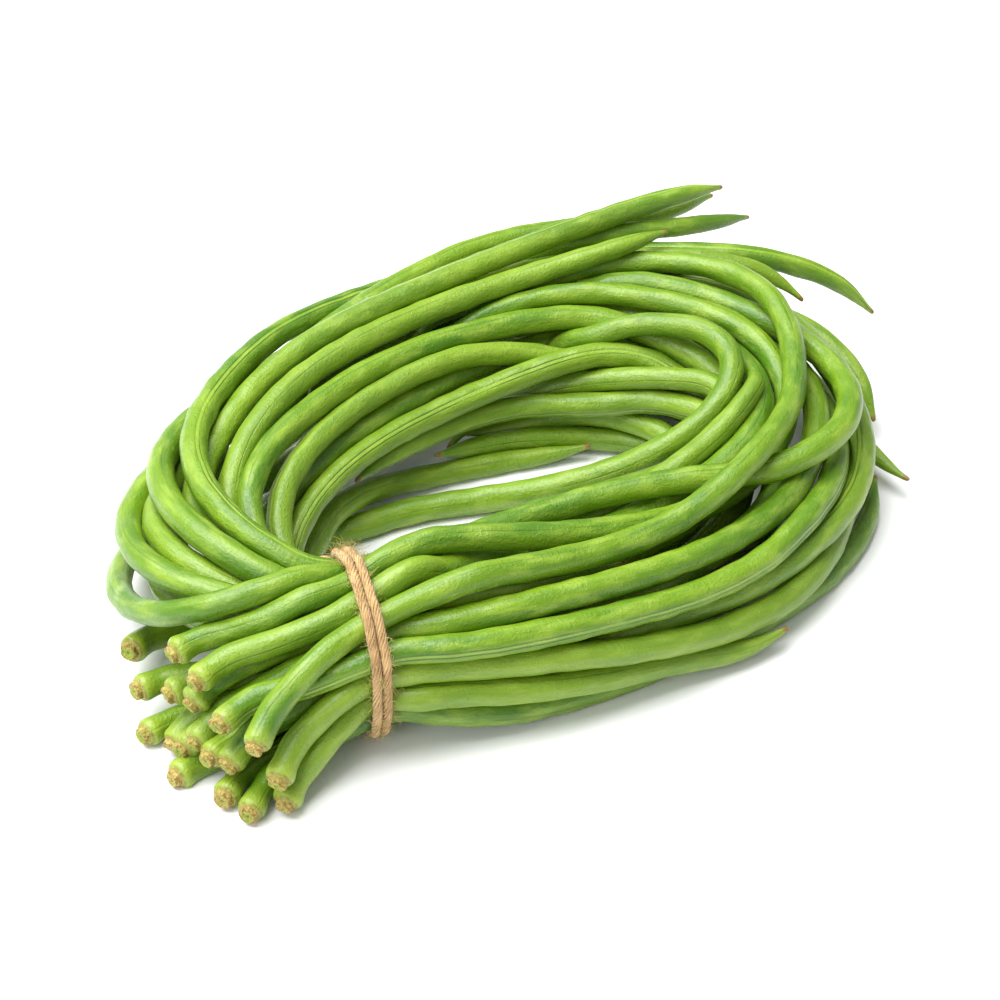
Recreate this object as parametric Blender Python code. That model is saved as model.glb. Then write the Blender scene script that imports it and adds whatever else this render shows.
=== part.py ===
"""A bunch of yardlong beans, coiled into an oval loop and tied once with two-strand twine.

The loop lies on a surface at z = 0 with its long axis on X. Twelve hours are marked along it,
anticlockwise from the tie, and each pod takes its own lane from hour to hour. The pods are then
packed, so that each one rests on its neighbours or on the surface, and are made as tubes.
"""

import math

import bmesh
import bpy
import numpy as np
from mathutils import Matrix, Vector
from mathutils.geometry import convex_hull_2d

# ---- driving dimensions, in millimetres ----
MM = 0.001
POD_RADIUS = 4.45
STEM_RADIUS = 3.3
TIP_RADIUS = 0.8
NECK_LENGTH = 7.0
NECK_SHARE = 0.88
BEAK_LENGTH = 48.0
BEAK_BLUNTNESS = 0.6
STEM_FILL = 0.93
FILL_LENGTH = 90.0
SLIM_FROM = 0.3
SLIM_SHARE = 0.86
POD_VARIATION = 0.03
SWELL = 0.1
SWELL_LENGTH = 23.0
RING_SPACING = 14.5
GAP = 0.3
TWINE_RADIUS = 1.6
TWINE_TURNS = 2
TWINE_PITCH = 2 * TWINE_RADIUS + GAP
KNOT_SIZE = (6, 3.4, 5)
KNOT_PROUD = 1.6
KNOT_HEIGHT = 36.0
KNOT_SEGMENTS = (12, 8)
OUTLINE_STEPS = 12
TUBE_FACETS = 8

# ---- how a pod's rough route is drawn ----
LANE_STEP = 0.12
ROUTE_SPACING = 4.0
ROUTE_SMOOTHINGS = 14

# ---- how the pods settle ----
PASSES = 700
PAIRS_EVERY = 12
HOLD = 0.2
HOLD_FADE = (0.3, 0.8)
CINCH_PULL = 1.0
CINCH_SHARE = 0.985
LOOSE_SHARE = 0.85
STIFFNESS = 0.5
SINK = 0.02
EVENING = 0.25
PUSHES = 2
PUSH_OVER = 1.1
SPARE_GAP = 0.15
NEAR = 2 * POD_RADIUS + RING_SPACING + 4
OWN_NEIGHBOURS = 3

# ---- the twine's two ends, through the knot: (along the bundle, away from it, below the knot) ----
TWINE_ENDS = [
    (9, 8, 16),
    (8.5, 7.5, 10),
    (6, 5.5, 4),
    (2, 2.5, 0.5),
    (-1.5, 2.5, 0.5),
    (-3.5, 6, 2),
    (-3, 9, 8),
]

# ---- the loop: where its middle line passes at each hour ----
HOURS = [
    (-80, -62),
    (-35, -66),
    (38, -60),
    (88, -42),
    (106, -4),
    (90, 46),
    (46, 74),
    (-4, 74),
    (-50, 52),
    (-88, 30),
    (-113, -4),
    (-108, -38),
]

# ---- the tie: three rings of seats round the bundle's axis, drawn into a circle by the twine ----
TIE_HEIGHT = 28.0
TIE_HEADING = math.radians(-7)
TIE_REACH = 0.4
TIE_STRETCH = 0.25
TIE_CIRCLE = 25.0
TIE_FLARE = 0.5
TIE_FUNNEL = 36.0
TIE_SPREAD = 22.0
TIE_HALF_WIDTH = 48.0
TIE_SQUEEZE = 0.09
TWINE_ROOM = 2 * TWINE_RADIUS + 0.7
TIE_RINGS = {
    "outer": (22.6, 16, 5),
    "middle": (14.0, 10, 18),
    "inner": (6.4, 5, 45),
}


def seat(ring, number):
    """The lane (out, up) of one numbered seat in a ring of the tied bundle."""
    radius, seats, first_angle = TIE_RINGS[ring]
    angle = math.radians(first_angle + 360 * number / seats)
    return radius * math.cos(angle), TIE_HEIGHT + radius * math.sin(angle)


def outer(number, hour=0):
    return (hour, *seat("outer", number))


def middle(number, hour=0):
    return (hour, *seat("middle", number))


def inner(number, hour=0):
    return (hour, *seat("inner", number))


# ---- the pods ----
# Each row is one pod, from its stem end to its tip: the point of the stem end where it shows,
# the lanes that it takes as (hour, out, up), and the point of the tip where it sticks out.
# The first nineteen run anticlockwise from the fan of stem ends beside the tie.
PODS = [
    (
        [(-142, -20, 14), (-114, -8, 6), (-84, 10, 5), (-50, 18, 5), (-12, 11, 5), (9, 7, 6),
         (25, -2, 12)],
        [(2.1, -51, 18), (2.3, -45, 24), (2.6, -36, 32), (2.9, -32, 36), (3.3, -26, 40), (3.9, -18, 42),
         (4.2, -17, 44), (4.6, -17, 45), (5.1, -20, 44), (5.4, -26, 42), (5.8, -32, 35), (6.3, -30, 30)],
        [],
    ),
    (
        [(-139, -52, 38)],
        [outer(4), (0.6, -3, 45), (1, -4, 45), (1.5, -4, 44), (2, 0, 40), (2.5, -4, 35), (3, -6, 31),
         (3.5, -6, 36), (4, -8, 42), (5, -10, 44), (6, -12, 46), (7, -16, 40)],
        [],
    ),
    (
        [(-146, -38, 14)],
        [middle(6), (0.7, -22, 26), (1.4, -28, 30), (2.2, -34, 28), (2.7, -29, 32), (3.3, -22, 36),
         (3.6, -20, 35), (4, -26, 29), (4.7, -40, 26), (5.4, -44, 26), (6.5, -43, 25), (7.5, -37, 27),
         (8.2, -31, 27)],
        [],
    ),
    (
        [(-136, -67, 38)],
        [outer(3), (0.4, 1, 40), (0.8, -5, 35), (1.5, -17, 34), (2.1, -26, 35), (2.5, -20, 37),
         (3, -15, 39), (3.5, -12, 41), (3.9, -12, 44)],
        [],
    ),
    (
        [(-141, -52, 22)],
        [inner(3), (1, 0, 28), (2, -8, 26), (3, -18, 26), (3.5, -22, 30), (4, -25, 33), (4.6, -32, 32),
         (5.2, -38, 29), (5.8, -40, 27), (6.6, -36, 18), (7.3, -30, 14)],
        [],
    ),
    (
        [(-138, -62, 24)],
        [inner(0), (1, -9, 36), (1.5, -11, 34), (2, -15, 35), (3, -10, 40), (3.7, -9, 42),
         (4.2, -11, 39), (5, -14, 34), (6, -16, 36), (7, -8, 38)],
        [],
    ),
    (
        [(-149, -50, 6)],
        [middle(7), (1, -6, 4.5), (2, -20, 4.5), (3, -24, 5), (4, -34, 5), (5, -46, 8), (6, -48, 12),
         (7, -44, 9), (7.6, -38, 8)],
        [],
    ),
    (
        [(-143, -59, 6)],
        [inner(2), (1, -14, 20), (2, -22, 15), (3, -30, 12), (4, -38, 14), (5, -46, 17), (5.6, -47, 16),
         (6.2, -40, 10), (7, -34, 6)],
        [],
    ),
    (
        [(-138, -70, 16)],
        [middle(1), (1, 17, 44), (2, 19, 36), (2.6, 11, 38), (3, 7, 39), (3.5, 6, 38), (4, 8, 37),
         (5, 8, 34), (6, 8, 38), (7, 6, 36), (8, 6, 34)],
        [],
    ),
    (
        [(-133, -81, 32)],
        [outer(1), (1, 24, 41), (2, 29, 28), (3, 16, 31), (4, 10, 29), (5, 6, 26), (6, 4, 30),
         (6.6, 6, 27), (7, 8, 22), (7.6, 5, 20), (8.2, 2, 21)],
        [],
    ),
    (
        [(-141, -66, 7)],
        [middle(8), (1, 4, 12), (2, -4, 13), (3, -12, 17), (4, -24, 24), (5, -34, 31), (6.2, -40, 29),
         (7, -40, 27), (7.7, -32, 31), (8.3, -29, 33), (9, -28, 32), (10, -31, 22), (11, -23, 20),
         outer(10, 12), (12.6, -14, 14)],
        [],
    ),
    (
        [(-137, -77, 15)],
        [middle(9), (1, 10, 20), (2, 8, 22), (3, 0, 20), (4, -18, 22), (5, -30, 28), (6, -31, 35),
         (6.9, -27, 41), (8, -22, 42), (8.8, -23, 41), (9.6, -25, 37), (10, -25, 34), (11, -22, 29),
         outer(9, 12), (12.5, -20, 18)],
        [],
    ),
    (
        [(-146, -69, 6)],
        [outer(12), (1, 8, 4.5), (2, 4, 4.5), (3, 0, 5), (4, -10, 5), (5, -16, 5), (6, -12, 5),
         (7, -8, 5), (8, -6, 5), (8.6, -6, 6)],
        [],
    ),
    (
        [(-132, -82, 16)],
        [middle(0), (1, 12, 34), (2, 14, 27), (3, -2, 27), (3.5, -10, 29), (4, -18, 31), (4.4, -23, 37),
         (5.1, -26, 36), (5.9, -27, 38), (6.7, -24, 43), (7.4, -19, 46), (8.2, -16, 46), (9, -13, 47),
         (10, -15, 43), (11, -18, 38), outer(8, 12), (12.6, -18, 27)],
        [],
    ),
    (
        [(-127, -94, 31)],
        [outer(2), (0.5, 11, 48), (1, 7, 49), (2, 8, 41), (2.7, 1, 42), (3, -3, 42), (3.6, -4, 44),
         (4, 1, 47), (4.5, 11, 48), (5, 15, 46), (5.4, 6, 48), (5.8, 0, 42), (7, 2, 42)],
        [],
    ),
    (
        [(-135, -86, 6)],
        [outer(13), (1, 17, 25), (2, 27, 21), (2.5, 27, 20), (2.8, 24, 22), (3.1, 19, 27),
         (3.9, 17, 33), (4.4, 18, 37), (5, 20, 36), (6, 22, 32), (6.6, 20, 28), (7.2, 16, 22),
         (8, 13, 22), (8.7, 12, 21), (9.2, 13, 20)],
        [],
    ),
    (
        [(-130, -95, 6)],
        [outer(14), (0.5, 21, 12), (1, 23, 8), (1.5, 28, 5), (2, 28, 5), (2.5, 28, 5), (2.8, 31, 5)],
        [(124, -43, 6)],
    ),
    (
        [(-122, -98, 18)],
        [outer(0), (1, 28, 32), (1.5, 32, 23), (2, 33, 14), (2.5, 27, 13), (3, 20, 18), (4, 16, 20),
         (5, 22, 10), (6, 22, 5), (7, 20, 5), (8, 16, 9)],
        [],
    ),
    ([(-121, -96, 6)], [outer(15), (1, 26, 21), (1.5, 31, 12), (1.9, 36, 8)], [(54, -99, 5)]),
    # The rest run clockwise, head to tail with the others, from a stem end inside the bundle.
    (
        [],
        [(5.7, -3, 42), (5.3, -2, 46), (5, 1, 44), (4.6, 3, 41), (4.3, 6, 38), (4, 10, 40),
         (3.7, 14, 42), (3.4, 17, 43), (3.2, 18, 43), (2.9, 15, 43), (2.6, 7, 42), (2.3, -5, 41),
         (2, -13, 40), (1.7, -20, 40), (1.4, -21, 41), (1, -18, 44), (0.5, -15, 48), outer(5),
         (-0.5, 7, 49), (-0.9, 17, 44), (-1.1, 20, 41), (-1.4, 24, 35), (-1.7, 28, 28), (-2, 30, 22),
         (-2.5, 26, 12), (-3.2, 22, 6), (-4, 20, 5), (-4.8, 18, 5)],
        [],
    ),
    (
        [],
        [(1.7, -6, 20), (1, -4, 20), outer(7), (-1, -7, 41), (-2, -3, 40), (-2.5, 4, 44), (-3, 4, 49),
         (-3.4, 8, 50), (-3.8, 9, 51), (-4.1, 7, 52), (-4.6, 1, 53), (-5, -3, 53), (-5.6, 0, 54),
         (-6.1, 8, 55), (-6.4, 16, 55)],
        [(98, 84, 56), (128, 83, 57)],
    ),
    (
        [],
        [(1.2, -4, 30), middle(3), (-0.5, -5, 49), (-1, -2, 52), (-1.5, 0, 50), (-1.8, 2, 49),
         (-2.2, 9, 47), (-2.5, 13, 45), (-2.8, 22, 42), (-3.2, 22, 42), (-3.6, 20, 42), (-4, 14, 43),
         (-4.5, 9, 46), (-4.8, 9, 46), (-5.4, 12, 43), (-6, 24, 43), (-6.3, 30, 44)],
        [(102, 87, 47), (129, 91, 48)],
    ),
    (
        [],
        [(1.6, 4, 34), (1, 4, 38), middle(2), (-0.6, 3, 49), (-1, 8, 52), (-1.5, 18, 45), (-2, 22, 38),
         (-2.6, 23, 35), (-3, 22, 32), (-4, 18, 34), (-5, 10, 40), (-6, 10, 40)],
        [(89, 75, 46), (113, 77, 44), (140, 82, 42)],
    ),
    (
        [],
        [(1, -12, 28), middle(4), (-1, -11, 34), (-2, -13, 38), (-2.5, -8, 45), (-3.2, -4, 50),
         (-3.8, -2, 51), (-4.2, -5, 51), (-5, -11, 50), (-5.7, -9, 49), (-6, -4, 51), (-6.3, -1, 52),
         (-6.6, 4, 55)],
        [(95, 64, 58)],
    ),
    (
        [],
        [(1.6, -22, 22), (1, -22, 34), outer(6), (-0.3, -13, 48), (-0.7, -12, 50), (-1.2, -11, 51),
         (-1.6, -10, 51), (-1.9, -7, 50), (-2.2, -3, 50), (-2.4, 1, 49), (-2.6, 5, 49), (-2.8, 9, 49),
         (-3.1, 13, 47), (-3.5, 15, 46), (-4, 16, 46), (-4.3, 15, 44), (-5, 17, 40), (-6, 22, 38),
         (-6.6, 20, 42), (-6.9, 17, 46)],
        [(121, 55, 43), (145, 51, 35), (160, 43, 27), (166, 33, 21)],
    ),
    (
        [],
        [(1.4, 6, 28), (0.7, 2, 30), inner(1), (-0.6, -1, 46), (-1.2, 3, 49), (-1.7, 9, 45),
         (-2.2, 14, 38), (-3, 13, 36), (-4, 8, 40), (-5, 4, 42), (-6, 10, 40), (-6.8, 14, 41)],
        [(113, 54, 44), (127, 49, 40), (140, 42, 35)],
    ),
    (
        [],
        [(1.5, -14, 12), (0.8, -14, 18), middle(5), (-1, -14, 28), (-2, -20, 28), (-3, -24, 30),
         (-4, -28, 34), (-4.6, -32, 34), (-5.5, -33, 37), (-6, -26, 32), (-6.6, -6, 32), (-7, 14, 36)],
        [(124, 38, 36), (133, 24, 32), (140, 12, 24), (141, -3, 18), (142, -13, 14)],
    ),
    (
        [],
        [(1.2, 14, 12), (0.6, 10, 20), inner(4), (-0.7, 4, 34), (-1.4, 12, 28), (-2, 15, 24),
         (-2.8, 10, 14), (-4, 4, 6), (-5, 4, 5), (-6, 6, 5), (-7, 14, 7), (-8, 20, 14)],
        [(127, -25, 14), (129, -35, 9), (130, -45, 6)],
    ),
    (
        [],
        [(0.8, -20, 6), outer(11), (-1, -20, 10), (-2, -32, 7), (-2.8, -32, 6)],
        [(-42, 31, 5), (-12, 29, 5), (17, 25, 5), (42, 20, 5)],
    ),
]


def loop_frame(hour):
    """The middle line's point at an hour of the loop, and the unit vector out of the loop there."""
    points = np.array(HOURS, float)
    count = len(points)

    def on_curve(value):
        step = int(math.floor(value))
        t = value - step
        a, b, c, d = (points[(step + k) % count] for k in (-1, 0, 1, 2))
        curve = (-a + 3 * b - 3 * c + d) * t**3 + (2 * a - 5 * b + 4 * c - d) * t**2 + (c - a) * t + 2 * b
        return curve / 2

    here = on_curve(hour)
    ahead = on_curve(hour + 0.01) - here
    heading = math.atan2(ahead[1], ahead[0])
    from_tie = (hour + count / 2) % count - count / 2
    heading += (TIE_HEADING - heading) * math.exp(-((from_tie / TIE_REACH) ** 2))
    return here, np.array([math.sin(heading), -math.cos(heading)])


def lane_point(hour, out, up):
    here, outward = loop_frame(hour)
    return np.append(here + outward * out, up)


def even_points(line, spacing):
    """The points at even steps of about the given spacing along a polyline."""
    run = np.append(0, np.cumsum(np.linalg.norm(np.diff(line, axis=0), axis=1)))
    steps = max(6, round(run[-1] / spacing))
    marks = np.linspace(0, run[-1], steps + 1)
    return np.column_stack([np.interp(marks, run, line[:, axis]) for axis in range(3)])


def through_tie(lanes):
    """The lanes, with each seat in the tie drawn out along the bundle, so that the pods lie side by side."""
    drawn = []
    step = math.copysign(TIE_STRETCH, lanes[-1][0] - lanes[0][0])
    for hour, out, up in lanes:
        if hour % len(HOURS) == 0:
            drawn += [(hour - step, out, up), (hour + step, out, up)]
        else:
            drawn.append((hour, out, up))
    return drawn


def route(before, lanes, after):
    """A pod's rough middle line: the points before the loop, its lanes along it, and those after."""
    line = [np.array(point, float) for point in before]
    lanes = through_tie(lanes)
    for start, end in zip(lanes, lanes[1:]):
        steps = max(1, math.ceil(abs(end[0] - start[0]) / LANE_STEP))
        for step in range(steps):
            mix = step / steps
            line.append(lane_point(*(a + (b - a) * mix for a, b in zip(start, end))))
    line.append(lane_point(*lanes[-1]))
    line += [np.array(point, float) for point in after]
    line = even_points(np.array(line), ROUTE_SPACING)
    for _ in range(ROUTE_SMOOTHINGS):
        line[1:-1] += 0.5 * (0.5 * (line[:-2] + line[2:]) - line[1:-1])
    return even_points(line, RING_SPACING)


def along_and_across(points):
    """Each point's distance from the tie along the bundle, and across it."""
    middle_point, out = loop_frame(0)
    offset = points[..., :2] - middle_point
    return offset @ np.array([-out[1], out[0]]), offset @ out


def near_tie(points):
    """How near each point is to the twine, from 0 to 1."""
    along, across = along_and_across(points)
    return np.exp(-((along / TIE_SPREAD) ** 2)) * (np.abs(across) < TIE_HALF_WIDTH)


def pod_radii(line, number):
    """The radius at each point: a blunt neck, a body that fills out and then slims, and a short taper."""
    run = np.append(0, np.cumsum(np.linalg.norm(np.diff(line, axis=0), axis=1)))
    to_tip = run[-1] - run
    own_radius = POD_RADIUS * (1 + POD_VARIATION * math.sin(2.4 * number))
    filled = STEM_FILL + (1 - STEM_FILL) * np.clip(run / FILL_LENGTH, 0, 1)
    slimmed = 1 - (1 - SLIM_SHARE) * np.clip((run / run[-1] - SLIM_FROM) / (1 - SLIM_FROM), 0, 1)
    body = own_radius * filled * slimmed + SWELL * np.sin(run / SWELL_LENGTH + number)
    taper = np.clip(to_tip / BEAK_LENGTH, 0, 1) ** BEAK_BLUNTNESS
    radii = TIP_RADIUS + (body - TIP_RADIUS) * taper
    radii[0] = STEM_RADIUS
    return radii * (1 - TIE_SQUEEZE * near_tie(line))


def nearest_on_segments(p1, q1, p2, q2):
    """For each pair of segments, the fractions along them of their nearest points, and the gap vector."""
    d1, d2, r = q1 - p1, q2 - p2, p1 - p2
    a = np.einsum("ij,ij->i", d1, d1)
    e = np.einsum("ij,ij->i", d2, d2)
    b = np.einsum("ij,ij->i", d1, d2)
    c = np.einsum("ij,ij->i", d1, r)
    f = np.einsum("ij,ij->i", d2, r)
    crossing = np.maximum(a * e - b * b, 1e-9)
    s = np.clip((b * f - c * e) / crossing, 0, 1)
    t = np.clip((b * s + f) / e, 0, 1)
    s = np.clip((b * t - c) / a, 0, 1)
    return s, t, (p1 + d1 * s[:, None]) - (p2 + d2 * t[:, None])


class Packing:
    """All pods as chains of points, and the passes that settle them against each other."""

    def __init__(self, lines, radii):
        self.points = np.concatenate(lines)
        self.radii = np.concatenate(radii)
        self.lanes = self.points.copy()
        self.pod = np.repeat(np.arange(len(lines)), [len(line) for line in lines])
        same = self.pod[:-1] == self.pod[1:]
        self.first = np.nonzero(same)[0]
        along, across = along_and_across(self.lanes)
        self.tied = (np.abs(along) < TIE_FUNNEL) & (np.abs(across) < TIE_CIRCLE)

    def near_pairs(self):
        """Pairs of segments that are near enough to touch soon."""
        middles = (self.points[self.first] + self.points[self.first + 1]) / 2
        apart = np.linalg.norm(middles[:, None] - middles[None], axis=2)
        one, two = np.nonzero(np.triu(apart < NEAR, 1))
        one, two = self.first[one], self.first[two]
        keep = (self.pod[one] != self.pod[two]) | (np.abs(one - two) > OWN_NEIGHBOURS)
        return one[keep], two[keep]

    def touches(self, one, two):
        s, t, away = nearest_on_segments(
            self.points[one], self.points[one + 1], self.points[two], self.points[two + 1]
        )
        distance = np.maximum(np.linalg.norm(away, axis=1), 1e-6)
        room = self.radii[one] * (1 - s) + self.radii[one + 1] * s
        room += self.radii[two] * (1 - t) + self.radii[two + 1] * t
        return s, t, away / distance[:, None], distance - room

    def push_apart(self, one, two, gap):
        s, t, away, space = self.touches(one, two)
        hit = space < gap
        one, two, s, t, away = one[hit], two[hit], s[hit], t[hit], away[hit]
        depth = (gap - space[hit])[:, None] * away / 2
        moved = np.zeros_like(self.points)
        count = np.zeros(len(self.points))
        for index, share, sign in ((one, 1 - s, 1), (one + 1, s, 1), (two, 1 - t, -1), (two + 1, t, -1)):
            for axis in range(3):
                weighed = sign * depth[:, axis] * share
                moved[:, axis] += np.bincount(index, weighed, len(self.points))
            count += np.bincount(index, share * share, len(self.points))
        self.points += PUSH_OVER * moved / np.maximum(count, 0.8)[:, None]

    def straighten(self):
        """Takes sharp bends out of each pod, without shortening it as plain averaging would."""
        p = self.points
        inside = np.nonzero((self.pod[:-4] == self.pod[4:]))[0] + 2
        bend = p[inside - 2] - 4 * p[inside - 1] + 6 * p[inside] - 4 * p[inside + 1] + p[inside + 2]
        p[inside] -= STIFFNESS * bend / 16

    def keep_length(self):
        """Pulls each point back to an even spacing from the next one along its pod."""
        span = self.points[self.first + 1] - self.points[self.first]
        length = np.linalg.norm(span, axis=1)
        error = ((length - self.spacing) / length * EVENING)[:, None] * span
        self.points[self.first] += error
        self.points[self.first + 1] -= error

    def rest_on_surface(self):
        lowest = self.radii * math.cos(math.pi / TUBE_FACETS)
        lowest += TWINE_ROOM * near_tie(self.points)
        self.points[:, 2] = np.maximum(self.points[:, 2], lowest)

    def cinch(self):
        """Draws the tied stretches into the circle of the tie, which flares to each side of it."""
        along, across = along_and_across(self.points)
        rise = self.points[:, 2] - TIE_HEIGHT
        reach = np.maximum(np.hypot(across, rise), 1e-6)
        excess = np.maximum(0, reach + self.radii - TIE_CIRCLE - TIE_FLARE * np.abs(along)) * self.tied
        _, out = loop_frame(0)
        self.points[:, :2] -= (CINCH_PULL * excess * across / reach)[:, None] * out
        self.points[:, 2] -= CINCH_PULL * excess * rise / reach

    def settle(self):
        self.spacing = np.linalg.norm(self.points[self.first + 1] - self.points[self.first], axis=1)
        for step in range(PASSES):
            done = step / PASSES
            if step % PAIRS_EVERY == 0:
                one, two = self.near_pairs()
            self.points += HOLD * np.interp(done, HOLD_FADE, (1, 0)) * (self.lanes - self.points)
            if done < LOOSE_SHARE:
                self.straighten()
                self.points[:, 2] -= SINK
            self.keep_length()
            if done < CINCH_SHARE:
                self.cinch()
            for _ in range(PUSHES):
                self.push_apart(one, two, GAP + SPARE_GAP)
            self.rest_on_surface()


def packed_pods():
    lines = [route(*row) for row in PODS]
    radii = [pod_radii(line, number) for number, line in enumerate(lines, 1)]
    packing = Packing(lines, radii)
    packing.settle()
    return packing


# ---- making the solids ----
def clear_scene():
    for item in list(bpy.data.objects):
        bpy.data.objects.remove(item, do_unlink=True)


def new_collection(name):
    made = bpy.data.collections.new(name)
    bpy.context.scene.collection.children.link(made)
    return made


def material(name, colour, roughness, metallic=0.0):
    made = bpy.data.materials.new(name)
    made.use_nodes = True
    shader = made.node_tree.nodes["Principled BSDF"]
    shader.inputs["Base Color"].default_value = (*colour, 1.0)
    shader.inputs["Roughness"].default_value = roughness
    shader.inputs["Metallic"].default_value = metallic
    return made


def pod_skin(number):
    """Each pod's own green, a little riper or a little fresher than its neighbours."""
    ripe = 0.5 + 0.5 * math.sin(1.9 * number)
    fresh, old = (0.16, 0.37, 0.035), (0.27, 0.46, 0.07)
    colour = [a + (b - a) * ripe for a, b in zip(fresh, old)]
    return material(f"pod_{number:02d}_skin", colour, roughness=0.38)


def tube(name, points, radii, surface, collection, twist="Z_UP"):
    """A closed tube along a polyline, turned so that a level stretch has a flat facet underneath."""
    curve = bpy.data.curves.new(name, "CURVE")
    curve.dimensions = "3D"
    curve.twist_mode = twist
    curve.bevel_depth = MM
    curve.bevel_resolution = (TUBE_FACETS - 4) // 2
    curve.use_fill_caps = True
    spline = curve.splines.new("POLY")
    spline.points.add(len(points) - 1)
    for knot, place, radius in zip(spline.points, points, radii):
        knot.co = (*(MM * place), 1.0)
        knot.radius = radius
        knot.tilt = math.pi / TUBE_FACETS
    curve.materials.append(surface)
    made = bpy.data.objects.new(name, curve)
    collection.objects.link(made)
    return made


def make_pod(number, points, radii, collection):
    """One pod, with a short neck behind the scar where its stalk came away."""
    neck = points[0] + (points[1] - points[0]) * NECK_LENGTH / np.linalg.norm(points[1] - points[0])
    points = np.insert(points, 1, neck, axis=0)
    radii = np.insert(radii, 1, NECK_SHARE * radii[1])
    return tube(f"pod_{number:02d}", points, radii, pod_skin(number), collection)


def tied_outline(packing):
    """The corners (out, up) of the tight outline round the tied pods, offset to the twine's middle."""
    band = TWINE_TURNS * TWINE_PITCH / 2 + TWINE_RADIUS + POD_RADIUS / 2
    corners = []
    for first in packing.first:
        for mix in np.linspace(0, 1, 9):
            place = packing.points[first] * (1 - mix) + packing.points[first + 1] * mix
            along, across = along_and_across(place)
            if abs(along) > band or abs(across) > TIE_HALF_WIDTH:
                continue
            reach = max(packing.radii[first], packing.radii[first + 1]) + GAP + TWINE_RADIUS
            reach /= math.cos(math.pi / OUTLINE_STEPS)
            for step in range(OUTLINE_STEPS):
                angle = math.tau * (step + 0.5) / OUTLINE_STEPS
                corners.append((across + reach * math.cos(angle), place[2] + reach * math.sin(angle)))
    outline = [corners[index] for index in convex_hull_2d(corners)]
    spaced = [outline[0]]
    for corner in outline[1:]:
        if math.dist(corner, spaced[-1]) > TWINE_RADIUS:
            spaced.append(corner)
    return spaced


def from_knot(outline):
    """The same outline, started where its inner side is at the knot's height."""
    for index, (lower, upper) in enumerate(zip(outline, outline[1:] + outline[:1])):
        if lower[0] < 0 and (lower[1] - KNOT_HEIGHT) * (upper[1] - KNOT_HEIGHT) < 0:
            mix = (KNOT_HEIGHT - lower[1]) / (upper[1] - lower[1])
            knot = (lower[0] + (upper[0] - lower[0]) * mix, KNOT_HEIGHT)
            return [knot] + outline[index + 1 :] + outline[: index + 1]
    raise ValueError("the tied outline does not pass the knot's height")


def in_tie(along, out_and_up):
    """The point at a distance along the bundle from the tie, and at (out, up) across it."""
    middle_point, out = loop_frame(0)
    heading = np.array([-out[1], out[0]])
    return np.append(middle_point + out * out_and_up[0] + heading * along, out_and_up[1])


def joined(name, pieces, surface, collection):
    """One mesh object from several tubes and meshes that run into each other."""
    bpy.context.view_layer.update()
    graph = bpy.context.evaluated_depsgraph_get()
    solids = []
    for piece in pieces:
        mesh = bpy.data.meshes.new_from_object(piece.evaluated_get(graph))
        work = bmesh.new()
        work.from_mesh(mesh)
        bmesh.ops.remove_doubles(work, verts=work.verts, dist=0.01 * MM)
        bmesh.ops.recalc_face_normals(work, faces=work.faces)
        work.to_mesh(mesh)
        work.free()
        solid = bpy.data.objects.new(piece.name, mesh)
        solid.matrix_world = piece.matrix_world
        solids.append(solid)
        bpy.data.objects.remove(piece, do_unlink=True)
    whole = solids[0]
    whole.name = name
    whole.data.materials.clear()
    whole.data.materials.append(surface)
    collection.objects.link(whole)
    helpers = new_collection(name + "_joins")
    for solid in solids[1:]:
        helpers.objects.link(solid)
        solid.hide_render = True
        solid.display_type = "WIRE"
        union = whole.modifiers.new("join_" + solid.name, "BOOLEAN")
        union.operation = "UNION"
        union.object = solid
    return whole


def make_tie(packing, collection):
    """Two turns of twine side by side, knotted on the inner side, with two short ends hanging down."""
    outline = from_knot(tied_outline(packing))
    knot_out, knot_up = outline[0]
    corners = outline * TWINE_TURNS + outline[:1]
    run = np.append(0, np.cumsum([math.dist(a, b) for a, b in zip(corners, corners[1:])]))
    along = TWINE_TURNS * TWINE_PITCH * (run / run[-1] - 0.5)
    turns = np.array([in_tie(*spot) for spot in zip(along, corners)])
    turns[:, 2] = np.maximum(turns[:, 2], TWINE_RADIUS)
    surface = material("twine", (0.52, 0.33, 0.15), roughness=0.9)
    wound = tube("wound", turns, [TWINE_RADIUS] * len(turns), surface, collection, "MINIMUM")
    ends = [in_tie(along, (knot_out - away, knot_up - down)) for along, away, down in TWINE_ENDS]
    tails = tube("tails", np.array(ends), [TWINE_RADIUS] * len(ends), surface, collection, "MINIMUM")
    ball = bmesh.new()
    segments, rings = KNOT_SEGMENTS
    bmesh.ops.create_uvsphere(ball, u_segments=segments, v_segments=rings, radius=1.0)
    heading = in_tie(1, (0, 0)) - in_tie(0, (0, 0))
    turn = Matrix.Rotation(math.atan2(heading[1], heading[0]), 4, "Z")
    place = in_tie(0, (knot_out - KNOT_PROUD, knot_up))
    size = Matrix.Diagonal(Vector((*KNOT_SIZE, 1 / MM))) * MM
    bmesh.ops.transform(ball, matrix=Matrix.Translation(Vector(place * MM)) @ turn @ size, verts=ball.verts)
    mesh = bpy.data.meshes.new("knot")
    ball.to_mesh(mesh)
    ball.free()
    knot = bpy.data.objects.new("knot", mesh)
    collection.objects.link(knot)
    return joined("twine_tie", [wound, knot, tails], surface, collection)


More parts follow.
